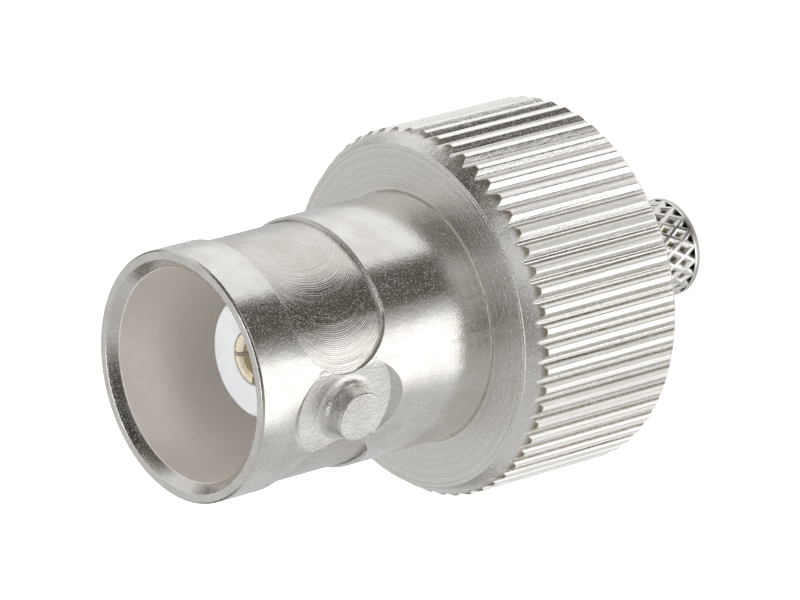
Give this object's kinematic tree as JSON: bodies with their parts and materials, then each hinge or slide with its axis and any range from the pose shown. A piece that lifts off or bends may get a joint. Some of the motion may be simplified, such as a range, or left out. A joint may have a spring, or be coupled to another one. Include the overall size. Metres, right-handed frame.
{
  "type": "crimp cable jack",
  "caption": "Bayonet coaxial cable jack with a slotted socket contact in a white insulator, a straight-knurled grip collar and a diamond-knurled crimp neck.",
  "frame": {"origin": "centre of the end face of the crimp neck, on which the jack stands", "axes": "+Z along the common axis from the crimp neck to the mouth; the two bayonet lugs point along +X and -X"},
  "size_m": [0.0142, 0.0142, 0.0244],
  "materials": {
    "nickel_barrel": "satin nickel plate on turned brass",
    "nickel_collar": "satin nickel plate on knurled brass",
    "nickel_stem": "satin nickel plate on diamond-knurled brass",
    "insulator": "white turned fluoropolymer",
    "gold_contact": "pale gold plate"
  },
  "bodies": {
    "root": {"bayonet_barrel": "nickel_barrel", "knurled_collar": "nickel_collar", "crimp_stem": "nickel_stem", "front_insulator": "insulator", "rear_insulator": "insulator", "socket_contact": "gold_contact"}
  },
  "joints": []
}
